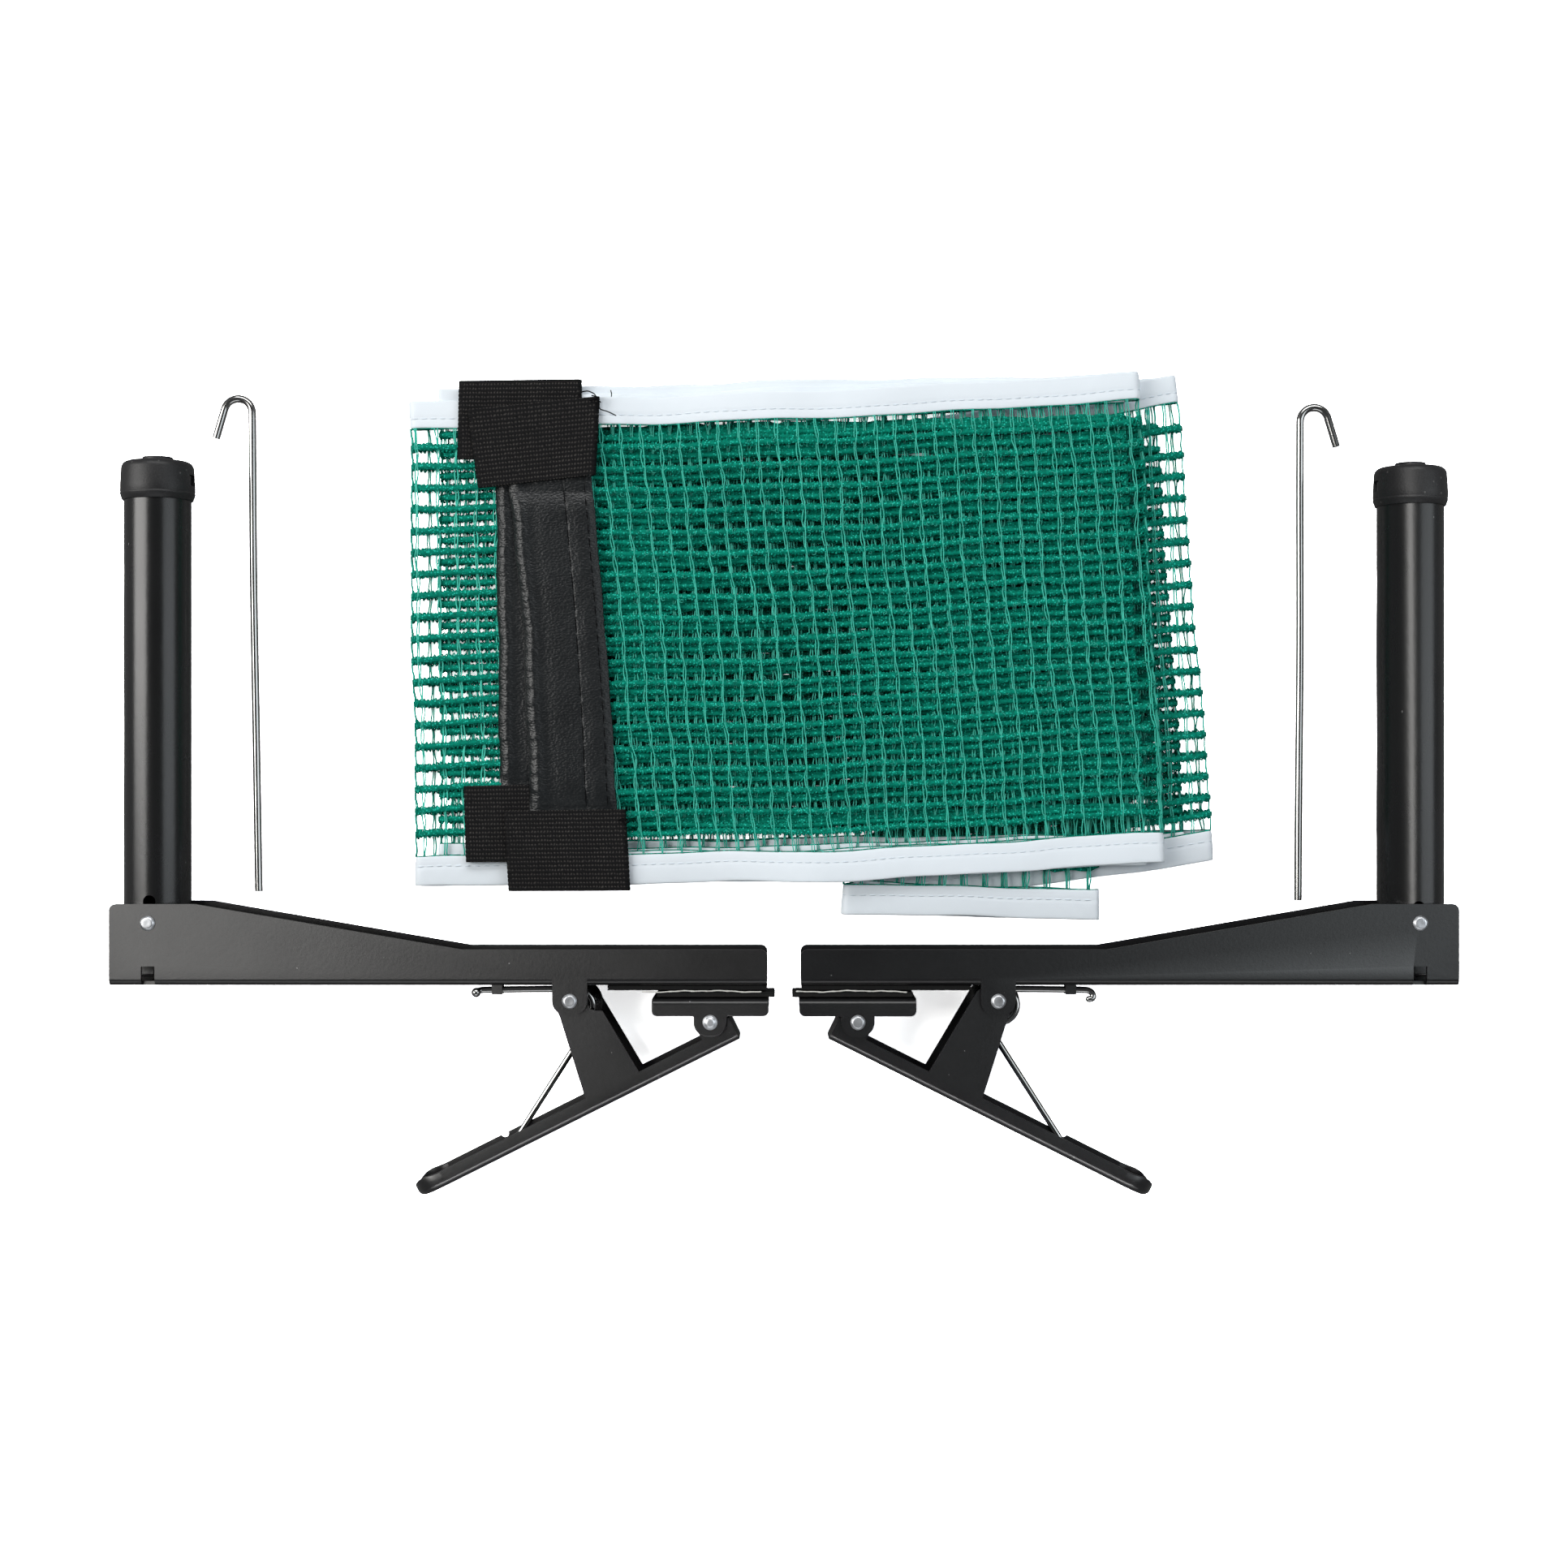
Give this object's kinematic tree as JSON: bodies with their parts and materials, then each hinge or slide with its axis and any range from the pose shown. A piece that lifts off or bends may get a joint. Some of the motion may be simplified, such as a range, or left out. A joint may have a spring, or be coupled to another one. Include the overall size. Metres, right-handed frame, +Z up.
{
  "type": "table tennis net clamp set",
  "caption": "Clip-on table tennis net set laid flat: sprung steel table clamps with sliding posts, hooked stretcher rods and a folded green net with white tapes and elastic loops.",
  "frame": {"origin": "middle of the set's bounding box, on the surface it lies on", "axes": "+X along the set towards the right clamp, +Y towards the tops of the posts, +Z up from the surface"},
  "size_m": [0.4094, 0.2528, 0.0254],
  "materials": {
    "black_steel": "satin black powder coat",
    "zinc": "bright zinc plating",
    "rubber": "matt black rubber",
    "cap_rubber": "moulded black rubber",
    "net_cord": "knitted green cord",
    "tape": "woven white tape",
    "sleeve_cloth": "coated black cloth",
    "elastic": "ribbed black elastic"
  },
  "bodies": {
    "net": {"net_mesh": "net_cord", "net_top_tape": "tape", "net_bottom_tape": "tape", "sleeve_front": "sleeve_cloth", "sleeve_back": "sleeve_cloth", "loop_front_top": "elastic", "loop_front_bottom": "elastic", "loop_back_top": "elastic", "loop_back_bottom": "elastic"},
    "clamp_left": {"bracket_left": "black_steel", "bracket_pad_left": "rubber", "post_rivet_left": "zinc", "lever_rivet_left": "zinc", "lever_spring_left": "zinc"},
    "post_left": {"post_tube_left": "black_steel", "post_cap_left": "cap_rubber"},
    "lever_left": {"lever_left": "black_steel", "jaw_rivet_left": "zinc"},
    "jaw_left": {"jaw_left": "black_steel", "jaw_pad_left": "rubber"},
    "rod_left": {"hook_rod_left": "zinc"},
    "clamp_right": {"bracket_right": "black_steel", "bracket_pad_right": "rubber", "post_rivet_right": "zinc", "lever_rivet_right": "zinc", "lever_spring_right": "zinc"},
    "post_right": {"post_tube_right": "black_steel", "post_cap_right": "cap_rubber"},
    "lever_right": {"lever_right": "black_steel", "jaw_rivet_right": "zinc"},
    "jaw_right": {"jaw_right": "black_steel", "jaw_pad_right": "rubber"},
    "rod_right": {"hook_rod_right": "zinc"}
  },
  "joints": [
    {"name": "clamp_left_apart", "type": "slide", "parent": "net", "child": "clamp_left", "axis": [-1, 0, 0], "range_m": [0, 0.1]},
    {"name": "post_left_draw", "type": "slide", "parent": "clamp_left", "child": "post_left", "axis": [0, 1, 0], "range_m": [-0.0065, 0.0015]},
    {"name": "lever_left_open", "type": "hinge", "parent": "clamp_left", "child": "lever_left", "pos_m": [-0.065, -0.06658, 0.0127], "axis": [0, 0, -1], "range_deg": [0, 40], "stiffness_Nm_per_rad": 0.9, "springref_deg": -51.57, "deforming": ["lever_spring_left"]},
    {"name": "jaw_left_swivel", "type": "hinge", "parent": "lever_left", "child": "jaw_left", "pos_m": [-0.02242, -0.07299, 0.0127], "axis": [0, 0, -1], "range_deg": [-40, 0]},
    {"name": "rod_left_apart", "type": "slide", "parent": "net", "child": "rod_left", "axis": [0, 1, 0], "range_m": [0, 0.1]},
    {"name": "clamp_right_apart", "type": "slide", "parent": "net", "child": "clamp_right", "axis": [1, 0, 0], "range_m": [0, 0.1]},
    {"name": "post_right_draw", "type": "slide", "parent": "clamp_right", "child": "post_right", "axis": [0, 1, 0], "range_m": [-0.0047, 0.0033]},
    {"name": "lever_right_open", "type": "hinge", "parent": "clamp_right", "child": "lever_right", "pos_m": [0.065, -0.06658, 0.0127], "axis": [0, 0, 1], "range_deg": [0, 40], "stiffness_Nm_per_rad": 0.9, "springref_deg": -51.57, "deforming": ["lever_spring_right"]},
    {"name": "jaw_right_swivel", "type": "hinge", "parent": "lever_right", "child": "jaw_right", "pos_m": [0.02242, -0.07299, 0.0127], "axis": [0, 0, 1], "range_deg": [-40, 0]},
    {"name": "rod_right_apart", "type": "slide", "parent": "net", "child": "rod_right", "axis": [0, 1, 0], "range_m": [0, 0.1]}
  ],
  "couplings": [
    {"joint": "jaw_left_swivel", "follows": "lever_left_open", "ratio": -1},
    {"joint": "jaw_right_swivel", "follows": "lever_right_open", "ratio": -1}
  ]
}
